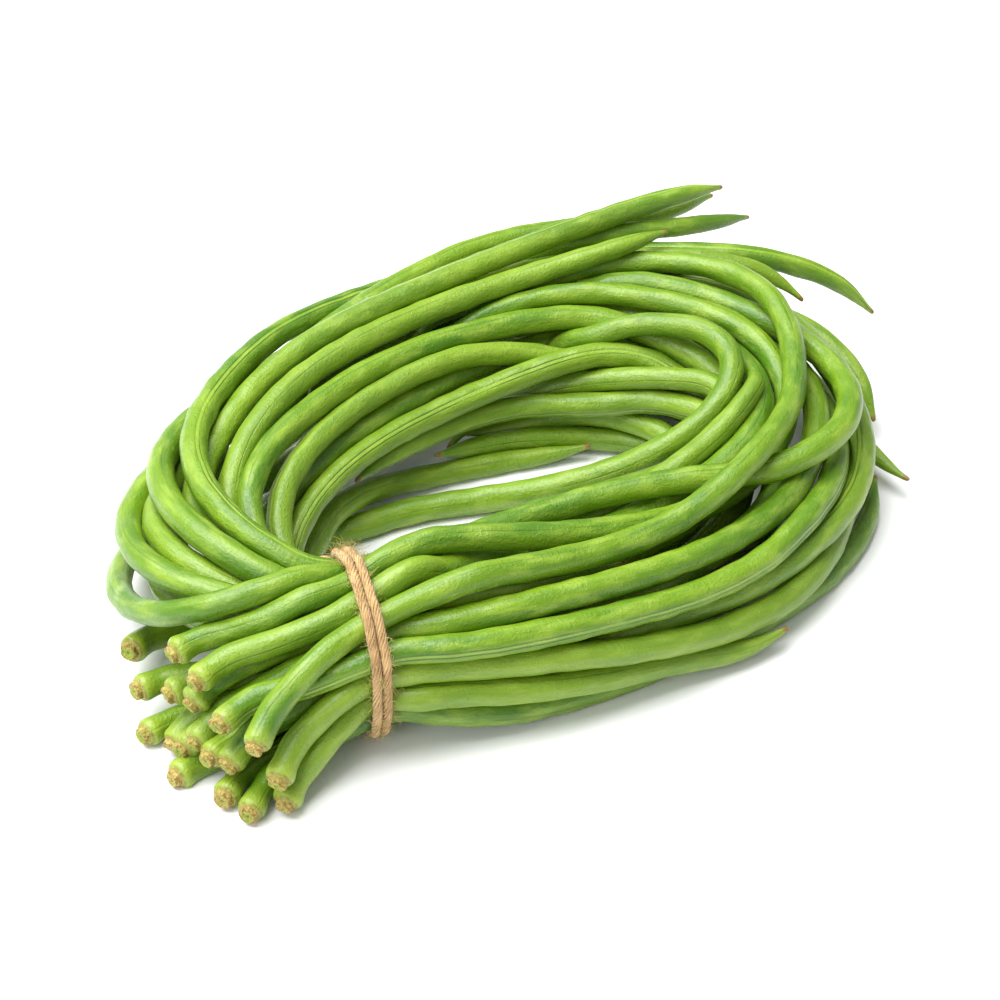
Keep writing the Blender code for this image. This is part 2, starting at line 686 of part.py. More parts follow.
def centre_on_origin(pieces):
    """Hangs every piece on an empty that puts the bottom centre of their box at the origin."""
    bpy.context.view_layer.update()
    graph = bpy.context.evaluated_depsgraph_get()
    corners = []
    for piece in pieces:
        solid = piece.evaluated_get(graph)
        corners += [vertex.co.copy() for vertex in solid.to_mesh().vertices]
        solid.to_mesh_clear()
    low = [min(corner[axis] for corner in corners) for axis in range(3)]
    high = [max(corner[axis] for corner in corners) for axis in range(3)]
    hub = bpy.data.objects.new("bunch_origin", None)
    bpy.context.scene.collection.objects.link(hub)
    for piece in pieces:
        piece.parent = hub
    hub.location = (-(low[0] + high[0]) / 2, -(low[1] + high[1]) / 2, -low[2])


def main():
    clear_scene()
    collection = new_collection("yardlong_bean_bunch")
    packing = packed_pods()
    pieces = []
    for number in range(1, len(PODS) + 1):
        mine = packing.pod == number - 1
        pieces.append(make_pod(number, packing.points[mine], packing.radii[mine], collection))
    tie = make_tie(packing, collection)
    helpers = [join.object for join in tie.modifiers]
    centre_on_origin([*pieces, tie, *helpers])


main()
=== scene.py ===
"""The looks of a tied bunch of yardlong beans: waxy green pods, two turns of jute twine, and a pale floor.

Each pod's route and thickness are read from its CAD solid. Sizes are in millimetres, and MM turns them
into Blender's metres.
"""

import math

import bmesh
import bpy
import numpy as np
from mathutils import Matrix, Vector
from mathutils.geometry import convex_hull_2d


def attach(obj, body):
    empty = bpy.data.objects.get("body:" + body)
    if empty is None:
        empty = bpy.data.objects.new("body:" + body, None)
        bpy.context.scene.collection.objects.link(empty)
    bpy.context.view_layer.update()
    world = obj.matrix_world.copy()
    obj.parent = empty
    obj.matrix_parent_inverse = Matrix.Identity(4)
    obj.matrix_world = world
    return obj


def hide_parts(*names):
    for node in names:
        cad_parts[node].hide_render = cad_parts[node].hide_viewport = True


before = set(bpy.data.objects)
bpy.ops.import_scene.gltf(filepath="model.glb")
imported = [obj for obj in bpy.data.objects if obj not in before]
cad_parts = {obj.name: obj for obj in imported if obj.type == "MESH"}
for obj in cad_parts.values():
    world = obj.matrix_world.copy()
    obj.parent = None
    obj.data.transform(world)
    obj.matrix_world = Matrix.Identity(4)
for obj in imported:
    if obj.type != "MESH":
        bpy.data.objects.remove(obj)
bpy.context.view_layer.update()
MM = 0.001

# ---- the pods' routes ----
# A pod's solid in the frame is a chain of rings. The middle and the size of each ring are read back
# here, so that the fine skin grows exactly where its solid lies.
RING_EDGE = 6.0  # a longer edge runs from ring to ring, a shorter one round its own ring
SAME_POINT = 0.02
FLOOR_CLEARANCE = 0.02
SEWN = 0.002  # points of a rolled skin that are nearer than this become one


def ring_chain(mesh):
    """The middle points and radii of a tube's rings, in order from the stem end to the tip, in mm."""
    solid = bmesh.new()
    solid.from_mesh(mesh)
    bmesh.ops.remove_doubles(solid, verts=solid.verts, dist=SAME_POINT * MM)
    ring_of = {}
    rings = []
    for start in solid.verts:
        if start in ring_of:
            continue
        ring, waiting = [], [start]
        ring_of[start] = len(rings)
        while waiting:
            vert = waiting.pop()
            ring.append(vert)
            for edge in vert.link_edges:
                other = edge.other_vert(vert)
                if other not in ring_of and edge.calc_length() < RING_EDGE * MM:
                    ring_of[other] = len(rings)
                    waiting.append(other)
        rings.append(np.array([vert.co / MM for vert in ring]))
    beside = [set() for _ in rings]
    for edge in solid.edges:
        one, two = (ring_of[vert] for vert in edge.verts)
        if one != two:
            beside[one].add(two)
            beside[two].add(one)
    solid.free()
    middles = [ring.mean(axis=0) for ring in rings]
    sizes = [np.linalg.norm(ring - middle, axis=1).mean() for ring, middle in zip(rings, middles)]
    ends = [number for number, near in enumerate(beside) if len(near) == 1]
    order = [max(ends, key=lambda number: sizes[number])]
    while len(order) < len(rings):
        order.append(next(number for number in beside[order[-1]] if number not in order))
    return np.array([middles[number] for number in order]), np.array([sizes[number] for number in order])


pods = {name: node for name, node in sorted(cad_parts.items()) if name.startswith("pod_")}
routes = {name: ring_chain(node.data) for name, node in pods.items()}


def along_line(points, marks, values):
    """Values at some distances along a line of points: a smooth curve through the value at each point."""
    run = np.append(0, np.cumsum(np.linalg.norm(np.diff(points, axis=0), axis=1)))
    values = np.asarray(values, float).reshape(len(run), -1)
    slope = np.gradient(values, run, axis=0)
    index = np.clip(np.searchsorted(run, marks, side="right") - 1, 0, len(run) - 2)
    span = (run[index + 1] - run[index])[:, None]
    t = (marks - run[index])[:, None] / span
    inside = np.clip(t, 0, 1)
    a, b = values[index], values[index + 1]
    c, d = slope[index] * span, slope[index + 1] * span
    curve = (2 * inside**3 - 3 * inside**2 + 1) * a + (3 * inside**2 - 2 * inside**3) * b
    curve += (inside**3 - 2 * inside**2 + inside) * c + (inside**3 - inside**2) * d
    past = np.where(t > 1, (t - 1) * d, np.where(t < 0, t * c, 0))
    return curve + past


def frames_along(line):
    """The direction at each point of a line, and two cross directions that never twist about it."""
    heading = np.gradient(line, axis=0)
    heading /= np.linalg.norm(heading, axis=1)[:, None]
    side = np.cross(heading[0], (0.0, 0.0, 1.0))
    sides = []
    for direction in heading:
        side = side - direction * (side @ direction)
        side /= np.linalg.norm(side)
        sides.append(side)
    sides = np.array(sides)
    return heading, sides, np.cross(heading, sides)


def straightened(marks, radii, angle):
    """Where each point of a skin would be if its line ran straight along x."""
    along = np.repeat(marks[:, None], len(angle), axis=1)
    return np.stack([along, radii * np.cos(angle), radii * np.sin(angle)], axis=-1)


def rolled_skin(name, line, radii, turn, attributes, slide=0.0):
    """A closed skin round a line: a flat grid, rolled up, sewn along its seam and drawn shut at both ends.

    radii, turn and slide are given for each point of the grid, in rows from end to end and columns all round.
    slide moves a point along the line.
    """
    rows, columns = radii.shape
    heading, side, up = frames_along(line)
    across = side[:, None] * np.cos(turn)[..., None] + up[:, None] * np.sin(turn)[..., None]
    slide = np.broadcast_to(slide, radii.shape)
    places = line[:, None] + across * radii[..., None] + heading[:, None] * slide[..., None]
    places[..., 2] = np.maximum(places[..., 2], FLOOR_CLEARANCE)
    sheet = bmesh.new()
    bmesh.ops.create_grid(sheet, x_segments=columns - 1, y_segments=rows - 1, size=1.0)
    mesh = bpy.data.meshes.new(name)
    sheet.to_mesh(mesh)
    flat = np.empty(len(mesh.vertices) * 3)
    mesh.vertices.foreach_get("co", flat)
    column, row = np.rint((flat.reshape(-1, 3)[:, :2] + 1) / 2 * (columns - 1, rows - 1)).astype(int).T
    mesh.vertices.foreach_set("co", (places[row, column] * MM).ravel())
    for label, value in attributes.items():
        layer = mesh.attributes.new(label, "FLOAT_VECTOR", "POINT")
        layer.data.foreach_set("vector", value[row, column].ravel())
    sheet.clear()
    sheet.from_mesh(mesh)
    bmesh.ops.remove_doubles(sheet, verts=sheet.verts, dist=SEWN * MM)
    bmesh.ops.recalc_face_normals(sheet, faces=sheet.faces)
    sheet.to_mesh(mesh)
    sheet.free()
    mesh.shade_smooth()
    made = bpy.data.objects.new(name, mesh)
    bpy.context.scene.collection.objects.link(made)
    return made


# ---- materials' shared tools ----
def linear(code):
    """A colour from its sRGB hex code, as Blender's linear RGBA."""
    parts = [int(code[place : place + 2], 16) / 255 for place in (1, 3, 5)]
    return (*[part / 12.92 if part <= 0.04045 else ((part + 0.055) / 1.055) ** 2.4 for part in parts], 1.0)


def add_node(tree, kind, inputs=None, **settings):
    """Adds a node with its settings, and sets or links each input that is given."""
    made = tree.nodes.new(kind)
    for label, value in settings.items():
        setattr(made, label, value)
    for socket, value in (inputs or {}).items():
        if isinstance(value, bpy.types.NodeSocket):
            tree.links.new(value, made.inputs[socket])
        else:
            made.inputs[socket].default_value = value
    return made


# ---- bean pods ----
# Each pod is one long fresh fruit. Its skin is thin, waxy and smooth, swells a little over each seed,
# and shows the two seams where the halves of the pod join. The stalk has broken off at one end.
SKIN_SIDES = 30
SKIN_STEP = 1.8
SKIN_SWELL = 0.1  # the skin stands this far outside the solid
FIRST_SEED = (8.0, 16.0)
LAST_SEED = 30.0  # from the tip
SEED_SPACING = (11.0, 17.0)
SEED_LENGTH = 4.2
SEED_SWELL = (0.08, 0.24)
SEAM_STARTS = (1.5, 9.0)  # from the stem end
SEAM_FADES = (3.0, 25.0)  # from the tip
SEAM_WIDTH = 1.0
SEAM_DEPTH = 0.2
LIP_PLACE = 2.2
LIP_WIDTH = 0.9
RIB_HALF_WIDTH = 0.75
DENTS = 10
DENT_LENGTH = (9, 42)
DENT_DEPTH = 0.045
MOST_TWIST = 1.8
NECK_PLACE = 7.0
NECK_LENGTH = 3.6
NECK_DEPTH = (0.04, 0.16)
FLARE = (0.0, 0.1)
STEM_WIDTH = 1.05
SHOULDER = 2.0
SHOULDER_ROWS = [0.1, 0.25, 0.5, 0.85, 1.3, 1.9, 2.7, 3.7]
BODY_FROM = 4.8  # from the stem end
BODY_TO = 12.0  # from the tip
# The stalk's stub, from the pit in its face out to the rim and back to the pod: (along, radius)
STUB_PROFILE = [
    (-1.15, 0.0),
    (-1.2, 0.3),
    (-1.5, 0.65),
    (-1.75, 1.05),
    (-1.6, 1.45),
    (-1.7, 1.85),
    (-1.85, 2.2),
    (-1.7, 2.55),
    (-1.3, 2.75),
    (-0.85, 2.8),
    (-0.45, 2.65),
    (-0.15, 2.6),
    (0.0, 2.85),
]
STUB_SIZE = (0.9, 1.12)
STUB_RAGGED = 0.5
STUB_LOBES = (3, 5, 7, 8)
STUB_TILT = 0.12
RIM_RADIUS = 2.6
RIM_WIDTH = 0.6
RIDGE_RADIUS = 1.4
RIDGE_WIDTH = 0.7
# The tip's beak: its width as a share of the pod's, at distances from its point
BEAK = {0: 0.14, 0.4: 0.21, 1.5: 0.26, 3: 0.3, 5: 0.37, 8: 0.52, 12: 0.69, 17: 0.83, 24: 0.93, 36: 1.0}
BEAK_LENGTH = 46.0
BEAK_ROWS = np.array([12, 11, 10, 9, 8, 7, 6, 5, 4, 3.2, 2.4, 1.7, 1.1, 0.6, 0.25, 0, -0.2])
TIP_REACH = 1.2
TIP_BROWN = 4.5
# The tips hook sideways and up, and those near the floor hook the other way.
HOOK_LENGTH = 24.0
HOOK_SWAY = (3.5, 7.5)
HOOK_WAY = (0.6, 2.5)
LOW_TIP = 10.0
# The stem ends turn a little to the front, as they do when the cut ends are lined up and fanned out.
STEM_TURN = np.array([-0.05, -0.44, 0.1])
STEM_TURN_LENGTH = 15.0
FAN_SIDE = -100.0


def smooth_step(value, low, high):
    share = np.clip((value - low) / (high - low), 0, 1)
    return share * share * (3 - 2 * share)


def pod_rows(length):
    """The distances along a pod where its skin has a row of points, close together at both ends."""
    body = np.linspace(BODY_FROM, length - BODY_TO, round((length - BODY_FROM - BODY_TO) / SKIN_STEP))
    tip = length + TIP_REACH - BEAK_ROWS
    return np.concatenate([[place for place, _ in STUB_PROFILE], SHOULDER_ROWS, body, tip])


def pod_skin(number, points, sizes):
    """A pod's skin from its stalk's stub to its tip, round the route and sizes of its solid."""
    chance = np.random.default_rng(100 + number)
    run = np.append(0, np.cumsum(np.linalg.norm(np.diff(points, axis=0), axis=1)))
    length = run[-1]
    marks = pod_rows(length)
    stub = np.array(STUB_PROFILE)
    steady = np.append(np.linspace(-0.5, -0.02, len(stub)), marks[len(stub) :])
    line = along_line(points, steady, points)
    to_tip = length + TIP_REACH - marks
    # The stem end's turn, and the tip's hook.
    if points[0, 0] < FAN_SIDE:
        line -= np.outer(steady * np.exp(-((steady / STEM_TURN_LENGTH) ** 2)), STEM_TURN)
    _, side, up = frames_along(line)
    way = chance.uniform(*HOOK_WAY) * (1 if points[-1, 2] > LOW_TIP else -1)
    sway = chance.uniform(*HOOK_SWAY) * np.clip(1 - to_tip / HOOK_LENGTH, 0, 1) ** 2
    line += sway[:, None] * (side[-1] * math.cos(way) + up[-1] * math.sin(way))
    sizes = sizes.copy()
    sizes[:2] = sizes[2] * STEM_WIDTH
    full_size = np.interp(length - BEAK_LENGTH, run, sizes)
    sizes[run > length - BEAK_LENGTH] = full_size
    body = along_line(points, np.clip(marks, 0, length), sizes)[:, 0] + SKIN_SWELL
    place = chance.uniform(*FIRST_SEED)
    while place < length - LAST_SEED:
        swell = chance.uniform(*SEED_SWELL)
        body += swell * np.exp(-(((marks - place) / SEED_LENGTH) ** 2))
        place += chance.uniform(*SEED_SPACING)
    body *= 1 - chance.uniform(*NECK_DEPTH) * np.exp(-(((marks - NECK_PLACE) / NECK_LENGTH) ** 2))
    body *= 1 + chance.uniform(*FLARE) * np.exp(-(((marks - SHOULDER) / SHOULDER) ** 2))
    body *= np.interp(to_tip, list(BEAK), list(BEAK.values()))
    stub[:, 1] *= chance.uniform(*STUB_SIZE)
    rise = np.clip(marks / SHOULDER, 0, 1)
    rounded = stub[-1, 1] + (body - stub[-1, 1]) * np.sqrt(1 - (1 - rise) ** 2)
    body = np.where(marks < SHOULDER, rounded, body)
    body[: len(stub)] = stub[:, 1]
    body[-1] = 0
    angle = np.linspace(0, math.tau, SKIN_SIDES + 1)
    radii = np.repeat(body[:, None], SKIN_SIDES + 1, axis=1)
    # The two seams: a shallow valley with a soft lip on each side along the back, a fainter one below.
    full = smooth_step(marks, *SEAM_STARTS)[:, None] * smooth_step(to_tip, *SEAM_FADES)[:, None]
    from_back = np.abs((angle + math.pi) % math.tau - math.pi) * body[:, None]
    from_belly = np.abs(angle - math.pi) * body[:, None]
    radii -= full * SEAM_DEPTH * np.exp(-((from_back / SEAM_WIDTH) ** 2))
    radii += full * SEAM_DEPTH * 0.5 * np.exp(-(((from_back - LIP_PLACE) / LIP_WIDTH) ** 2))
    radii -= full * SEAM_DEPTH * 0.5 * np.exp(-((from_belly / SEAM_WIDTH) ** 2))
    # Slow dents and bulges, so that no stretch is a true cylinder.
    for _ in range(DENTS):
        wave = chance.uniform(*DENT_LENGTH)
        lobes = chance.integers(1, 4)
        phase = chance.uniform(0, math.tau, 2)
        ripple = np.sin(marks * math.tau / wave + phase[0])[:, None] * np.cos(lobes * angle + phase[1])
        radii += full * DENT_DEPTH * ripple
    # The ragged rim of the stalk's stub, and the ridges across its face.
    ragged = np.zeros(SKIN_SIDES + 1)
    for lobes in STUB_LOBES:
        ragged += np.cos(lobes * angle + chance.uniform(0, math.tau)) / 2.2
    ragged = np.clip(ragged, -1, 0.7)
    on_rim = np.exp(-(((stub[:, 1] - RIM_RADIUS) / RIM_WIDTH) ** 2)) * (stub[:, 0] < -0.3)
    on_ridge = np.exp(-(((stub[:, 1] - RIDGE_RADIUS) / RIDGE_WIDTH) ** 2)) * (stub[:, 0] < -1)
    on_ridge[0] = 0
    to_rim = np.outer(on_rim, ragged)
    on_face = np.outer(on_ridge, ragged)
    slide = np.repeat((marks - steady)[:, None], SKIN_SIDES + 1, axis=1)
    slide[: len(stub)] += STUB_RAGGED * (0.9 * to_rim - 0.7 * on_face)
    radii[: len(stub)] += STUB_RAGGED * to_rim
    tilt = chance.uniform(-STUB_TILT, STUB_TILT, 2)
    before_pod = smooth_step(-marks, -0.2, 1.2)[:, None]
    slide += before_pod * radii * (tilt[0] * np.cos(angle) + tilt[1] * np.sin(angle))
    twist = chance.uniform(0, math.tau) + chance.uniform(-MOST_TWIST, MOST_TWIST) * marks / length
    straight = straightened(marks, radii, angle)
    scar = 1 - smooth_step(marks, -0.3, 0.5)
    brown = smooth_step(-to_tip, -TIP_BROWN, -0.5)
    tint = np.full_like(marks, chance.uniform())
    marks_of_age = np.repeat(np.stack([scar, brown, tint], axis=-1)[:, None], SKIN_SIDES + 1, axis=1)
    looks = {"straight": straight * MM, "age": marks_of_age}
    return rolled_skin(f"bean_pod_{number:02d}", line, radii, twist[:, None] + angle, looks, slide)


def waxy_skin():
    """Living bean skin: a thin clear wax over wet green flesh, so satin highlights over a deep colour."""
    made = bpy.data.materials.new("waxy_bean_skin")
    made.use_nodes = True
    tree = made.node_tree
    shader = tree.nodes["Principled BSDF"]
    straight = add_node(tree, "ShaderNodeAttribute", attribute_name="straight").outputs["Vector"]
    age = add_node(tree, "ShaderNodeAttribute", attribute_name="age").outputs["Vector"]
    place = add_node(tree, "ShaderNodeSeparateXYZ", {0: straight})
    ages = add_node(tree, "ShaderNodeSeparateXYZ", {0: age})
    scar, brown, tint = ages.outputs
    own_place = add_node(tree, "ShaderNodeVectorMath", {0: age, 1: (0, 0, 97.0)}, operation="MULTIPLY")

    def noise(along, around, detail=3.0, rough=0.55, shift=0.0):
        """Noise with a feature size in mm along the pod and round it, different on each pod."""
        scale = (1 / (along * MM), 1 / (around * MM), 1 / (around * MM))
        settings = {"Vector": straight, "Scale": scale, "Location": (shift, shift, shift)}
        stretched = add_node(tree, "ShaderNodeMapping", settings)
        moved = add_node(tree, "ShaderNodeVectorMath", {0: stretched.outputs[0], 1: own_place.outputs[0]})
        inputs = {"Vector": moved.outputs[0], "Scale": 1.0, "Detail": detail, "Roughness": rough}
        return add_node(tree, "ShaderNodeTexNoise", inputs).outputs["Fac"]

    def ranged(value, low, high, to_low=0.0, to_high=1.0):
        inputs = {"Value": value, "From Min": low, "From Max": high, "To Min": to_low, "To Max": to_high}
        return add_node(tree, "ShaderNodeMapRange", inputs, interpolation_type="SMOOTHSTEP").outputs[0]

    def mix(share, one, two):
        return add_node(tree, "ShaderNodeMix", {0: share, 6: one, 7: two}, data_type="RGBA").outputs[2]

    def calc(operation, one, two=0.0):
        return add_node(tree, "ShaderNodeMath", {0: one, 1: two}, operation=operation).outputs[0]

    # Green: broad fresh and pale stretches, fine lengthwise streaks, and each pod its own tint.
    fresh = mix(ranged(noise(60, 9), 0.35, 0.65), linear("#457204"), linear("#6B8F0C"))
    pale = mix(ranged(noise(14, 4, shift=5), 0.42, 0.72, 0, 0.6), fresh, linear("#93AE3A"))
    own = mix(ranged(tint, 0, 1, 0, 0.4), pale, linear("#89A52C"))
    streaked = mix(ranged(noise(16, 0.6, detail=2, shift=11), 0.5, 0.75, 0, 0.22), own, linear("#3B6206"))
    # The back seam is a pale rib between two thin dark lines; the front seam is one thin dark line. The rib
    # and lines follow the bump's ridge and grooves, so the dark lines are partly painted shade in the grooves
    # and the pale rib is partly a painted highlight on the ridge.
    off_seam = calc("ABSOLUTE", place.outputs[2])
    on_back = ranged(place.outputs[1], 0, 1 * MM)
    on_front = ranged(place.outputs[1], -1 * MM, 0, 1, 0)
    shows = ranged(noise(34, 34, shift=17), 0.4, 0.62, 0.12, 1)
    beside_rib = calc("ABSOLUTE", calc("ADD", off_seam, -RIB_HALF_WIDTH * MM))
    back_lines = calc("MULTIPLY", ranged(beside_rib, 0.05 * MM, 0.32 * MM, 1, 0), on_back)
    front_line = calc("MULTIPLY", ranged(off_seam, 0.05 * MM, 0.4 * MM, 0.6, 0), on_front)
    lines = calc("MULTIPLY", calc("ADD", back_lines, front_line), shows)
    rib = calc("MULTIPLY", ranged(off_seam, 0.2 * MM, RIB_HALF_WIDTH * MM, 1, 0), on_back)
    # Partly painted light: a paler rib as a painted highlight on its ridge, then dark lines as painted shade
    # in the grooves beside it.
    rib_and_highlight = mix(calc("MULTIPLY", rib, 0.45), streaked, linear("#9CBC3E"))
    seam_lines_and_shade = mix(calc("MULTIPLY", lines, 0.62), rib_and_highlight, linear("#2C4F03"))
    # Towards the stalk the green turns yellow, with a brown ring at the scar.
    near_stalk = ranged(place.outputs[0], 0.2 * MM, 7 * MM, 0.6, 0)
    yellowed = mix(near_stalk, seam_lines_and_shade, linear("#9DB13C"))
    from_ring = calc("ABSOLUTE", calc("ADD", place.outputs[0], -0.1 * MM))
    ring = ranged(from_ring, 0.15 * MM, 0.8 * MM, 0.9, 0)
    ringed = mix(calc("MULTIPLY", ring, ranged(noise(1.4, 1.4), 0.3, 0.6)), yellowed, linear("#75671F"))
    # The stub of the stalk: straw-coloured fibres, green at the core on some, and brown at the rim.
    core = add_node(tree, "ShaderNodeVectorMath", {0: straight, 1: (0.0, 1.0, 1.0)}, operation="MULTIPLY")
    out = add_node(tree, "ShaderNodeVectorMath", {0: core.outputs[0]}, operation="LENGTH").outputs["Value"]
    straw = mix(ranged(noise(0.9, 0.6, detail=4), 0.35, 0.62), linear("#A98B3C"), linear("#CFC173"))
    greenness = ranged(noise(90, 90, shift=19), 0.4, 0.56, 0.2, 0.9)
    green_core = calc("MULTIPLY", ranged(out, 1.8 * MM, 2.6 * MM, 1, 0.4), greenness)
    green_face = mix(green_core, straw, linear("#98AC3A"))
    pitted = mix(ranged(out, 0.3 * MM, 0.8 * MM, 0.6, 0), green_face, linear("#7E6526"))
    near_face = ranged(place.outputs[0], -1.6 * MM, -0.8 * MM, 1, 0.35)
    at_rim = calc("MULTIPLY", ranged(out, 1.9 * MM, 2.5 * MM), near_face)
    browned = calc("MULTIPLY", at_rim, ranged(noise(1.2, 1.0, shift=29), 0.35, 0.6, 0.15, 0.9))
    rim = mix(browned, pitted, linear("#8A5A22"))
    stubbed = mix(scar, ringed, rim)
    # The dried point.
    tip_yellow = mix(calc("MULTIPLY", brown, 0.6), stubbed, linear("#939A30"))
    tipped = mix(ranged(brown, 0.55, 0.95, 0, 0.9), tip_yellow, linear("#80612A"))
    tree.links.new(tipped, shader.inputs["Base Color"])
    rough = ranged(noise(6, 2, detail=4, shift=31), 0.3, 0.7, 0.36, 0.54)
    tree.links.new(calc("ADD", rough, calc("MULTIPLY", scar, 0.35)), shader.inputs["Roughness"])
    shader.inputs["IOR"].default_value = 1.45
    shader.inputs["Subsurface Weight"].default_value = 0.12
    shader.inputs["Subsurface Radius"].default_value = (0.45, 1.0, 0.12)
    shader.inputs["Subsurface Scale"].default_value = 1.4 * MM
    shader.inputs["Coat Weight"].default_value = 0.26
    shader.inputs["Coat Roughness"].default_value = 0.28
    # Relief: lengthwise fibres, short wrinkles across the pod, shallow dimples, specks and the seams.
    fibres = calc("MULTIPLY", noise(12, 0.5, detail=2, shift=41), 0.4)
    patches = ranged(noise(12, 5, shift=61), 0.42, 0.62, 0.05, 0.6)
    wrinkles = calc("MULTIPLY", ranged(noise(1.3, 4.5, detail=1.5, shift=53), 0.35, 0.7), patches)
    dimples = calc("MULTIPLY", noise(4.5, 2.8, detail=2.5, shift=71), 2.3)
    woody = calc("MULTIPLY", calc("MULTIPLY", noise(0.6, 0.5, detail=4), scar), 6.0)
    specks = calc("MULTIPLY", ranged(noise(1.0, 0.8, detail=1, shift=83), 0.5, 0.72), 0.7)
    grooves = calc("SUBTRACT", calc("MULTIPLY", rib, 0.6), calc("MULTIPLY", lines, 1.6))
    height = calc("ADD", calc("ADD", fibres, wrinkles), calc("ADD", dimples, woody))
    height = calc("ADD", height, calc("ADD", specks, grooves))
    bump = add_node(tree, "ShaderNodeBump", {"Height": height, "Strength": 0.8, "Distance": 0.18 * MM})
    tree.links.new(bump.outputs[0], shader.inputs["Normal"])
    return made


bean_skin = waxy_skin()
for node_name, (points, sizes) in routes.items():
    pod = pod_skin(int(node_name[4:]), points, sizes)
    pod.data.materials.append(bean_skin)
    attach(pod, "root")
    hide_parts(node_name)

# ---- twine ----
# Two turns of jute twine pull the bunch together, tied in a knot on the inner side. Its yarns are
# spun from coarse brown-gold fibres and twisted together, and loose fibres stand off it as fuzz.
TWINE_RADIUS = 1.55
TWINE_GAP = 0.05
TWINE_TURNS = 2
TWINE_PITCH = 2 * TWINE_RADIUS + TWINE_GAP
YARNS = 8
YARN_RADIUS = 0.5
YARN_OFFSET = 1.06
YARN_TWIST = 15.0
YARN_SIDES = 8
YARN_STEP = 0.6
YARN_ROUGHNESS = 0.05
OUTLINE_STEP = 1.5
HULL_STEPS = 24
WOUND_POINTS = 300
TIE_CENTRE = np.array([-89.36, -62.89])
TIE_HEADING = math.radians(-7)
TIE_HALF_WIDTH = 40.0
KNOT_HEIGHT = 36.0
tie_out = np.array([math.sin(TIE_HEADING), -math.cos(TIE_HEADING)])
tie_ahead = np.array([math.cos(TIE_HEADING), math.sin(TIE_HEADING)])
# The tails' way through the knot: (along the bundle, away from it, below the knot)
KNOT_ROUTE = [
    (9.5, 8.5, 15),
    (8.5, 7.5, 8),
    (6.2, 5.6, 2),
    (2.6, 4.4, -1.4),
    (-2.4, 4.4, -3.4),
    (-5.8, 1.6, -3.2),
    (-3.4, -1.6, -1.8),
    (3.2, -1.6, -1),
    (5.6, 1.4, -0.4),
    (2.4, 5, 0.6),
    (-1.6, 6.2, 1),
    (-3.6, 7, 3.5),
    (-3.2, 9, 7.5),
    (-4.2, 9.6, 11),
]


def tied_outline():
    """The tight outline (out, up) round the pods that the twine holds, offset to the twine's middle."""
    corners = []
    for points, sizes in routes.values():
        length = np.linalg.norm(np.diff(points, axis=0), axis=1).sum()
        marks = np.arange(0, length, OUTLINE_STEP)
        line = along_line(points, marks, points)
        size = along_line(points, marks, sizes)[:, 0]
        along = (line[:, :2] - TIE_CENTRE) @ tie_ahead
        across = (line[:, :2] - TIE_CENTRE) @ tie_out
        tied = (np.abs(along) < TWINE_PITCH) & (np.abs(across) < TIE_HALF_WIDTH)
        for place, height, radius in zip(across[tied], line[tied, 2], size[tied]):
            reach = radius + TWINE_RADIUS + SKIN_SWELL
            for angle in np.linspace(0, math.tau, HULL_STEPS, endpoint=False):
                corners.append((place + reach * math.cos(angle), height + reach * math.sin(angle)))
    return np.array([corners[index] for index in convex_hull_2d(corners)])


def in_tie(along, out, up):
    """Points at distances along the bundle from the tie, out from its middle and up from the floor."""
    flat = TIE_CENTRE + np.outer(out, tie_out) + np.outer(along, tie_ahead)
    return np.column_stack([flat, np.maximum(up, TWINE_RADIUS + FLOOR_CLEARANCE)])


def twine_yarn(name, number, route):
    """One of the twine's yarns, wound round its middle line together with the others."""
    length = np.linalg.norm(np.diff(route, axis=0), axis=1).sum()
    marks = np.linspace(0, length, round(length / YARN_STEP))
    line = along_line(route, marks, route)
    _, side, up = frames_along(line)
    wind = math.tau * (marks / YARN_TWIST + number / YARNS)
    line = line + YARN_OFFSET * (side * np.cos(wind)[:, None] + up * np.sin(wind)[:, None])
    angle = np.linspace(0, math.tau, YARN_SIDES + 1)
    radii = np.full((len(marks), YARN_SIDES + 1), YARN_RADIUS)
    radii += YARN_ROUGHNESS * np.sin(marks / 2.3 + 2 * number)[:, None] * np.cos(2 * angle)
    radii *= np.sqrt(np.clip(np.minimum(marks, marks[::-1]) / YARN_RADIUS, 0, 1))[:, None]
    straight = straightened(marks, radii, angle)
    turn = np.repeat(angle[None], len(marks), axis=0)
    return rolled_skin(f"{name}_yarn_{number + 1}", line, radii, turn, {"straight": straight * MM})


def jute(name, dark, pale):
    """Jute: dry, dull, brown-gold bast fibres with no shine but a soft sheen at their edges."""
    made = bpy.data.materials.new(name)
    made.use_nodes = True
    tree = made.node_tree
    shader = tree.nodes["Principled BSDF"]
    straight = add_node(tree, "ShaderNodeAttribute", attribute_name="straight").outputs["Vector"]
    scale = (1 / (5 * MM), 1 / (0.25 * MM), 1 / (0.25 * MM))
    stretched = add_node(tree, "ShaderNodeMapping", {"Vector": straight, "Scale": scale})
    inputs = {"Vector": stretched.outputs[0], "Scale": 1.0, "Detail": 3.0}
    fibres = add_node(tree, "ShaderNodeTexNoise", inputs).outputs["Fac"]
    # The colour runs from dark to pale with the same noise that raises the bump. On the yarns, the low fibres
    # therefore carry painted shade and the high ones a painted highlight, over their own fibre tones. Each
    # fuzz fibre gets one tone.
    inputs = {"Value": fibres, "From Min": 0.32, "From Max": 0.62}
    share = add_node(tree, "ShaderNodeMapRange", inputs).outputs[0]
    inputs = {0: share, 6: linear(dark), 7: linear(pale)}
    colour = add_node(tree, "ShaderNodeMix", inputs, data_type="RGBA").outputs[2]
    tree.links.new(colour, shader.inputs["Base Color"])
    shader.inputs["Roughness"].default_value = 0.85
    shader.inputs["Sheen Weight"].default_value = 0.25
    bump = add_node(tree, "ShaderNodeBump", {"Height": fibres, "Strength": 0.9, "Distance": 0.2 * MM})
    tree.links.new(bump.outputs[0], shader.inputs["Normal"])
    return made


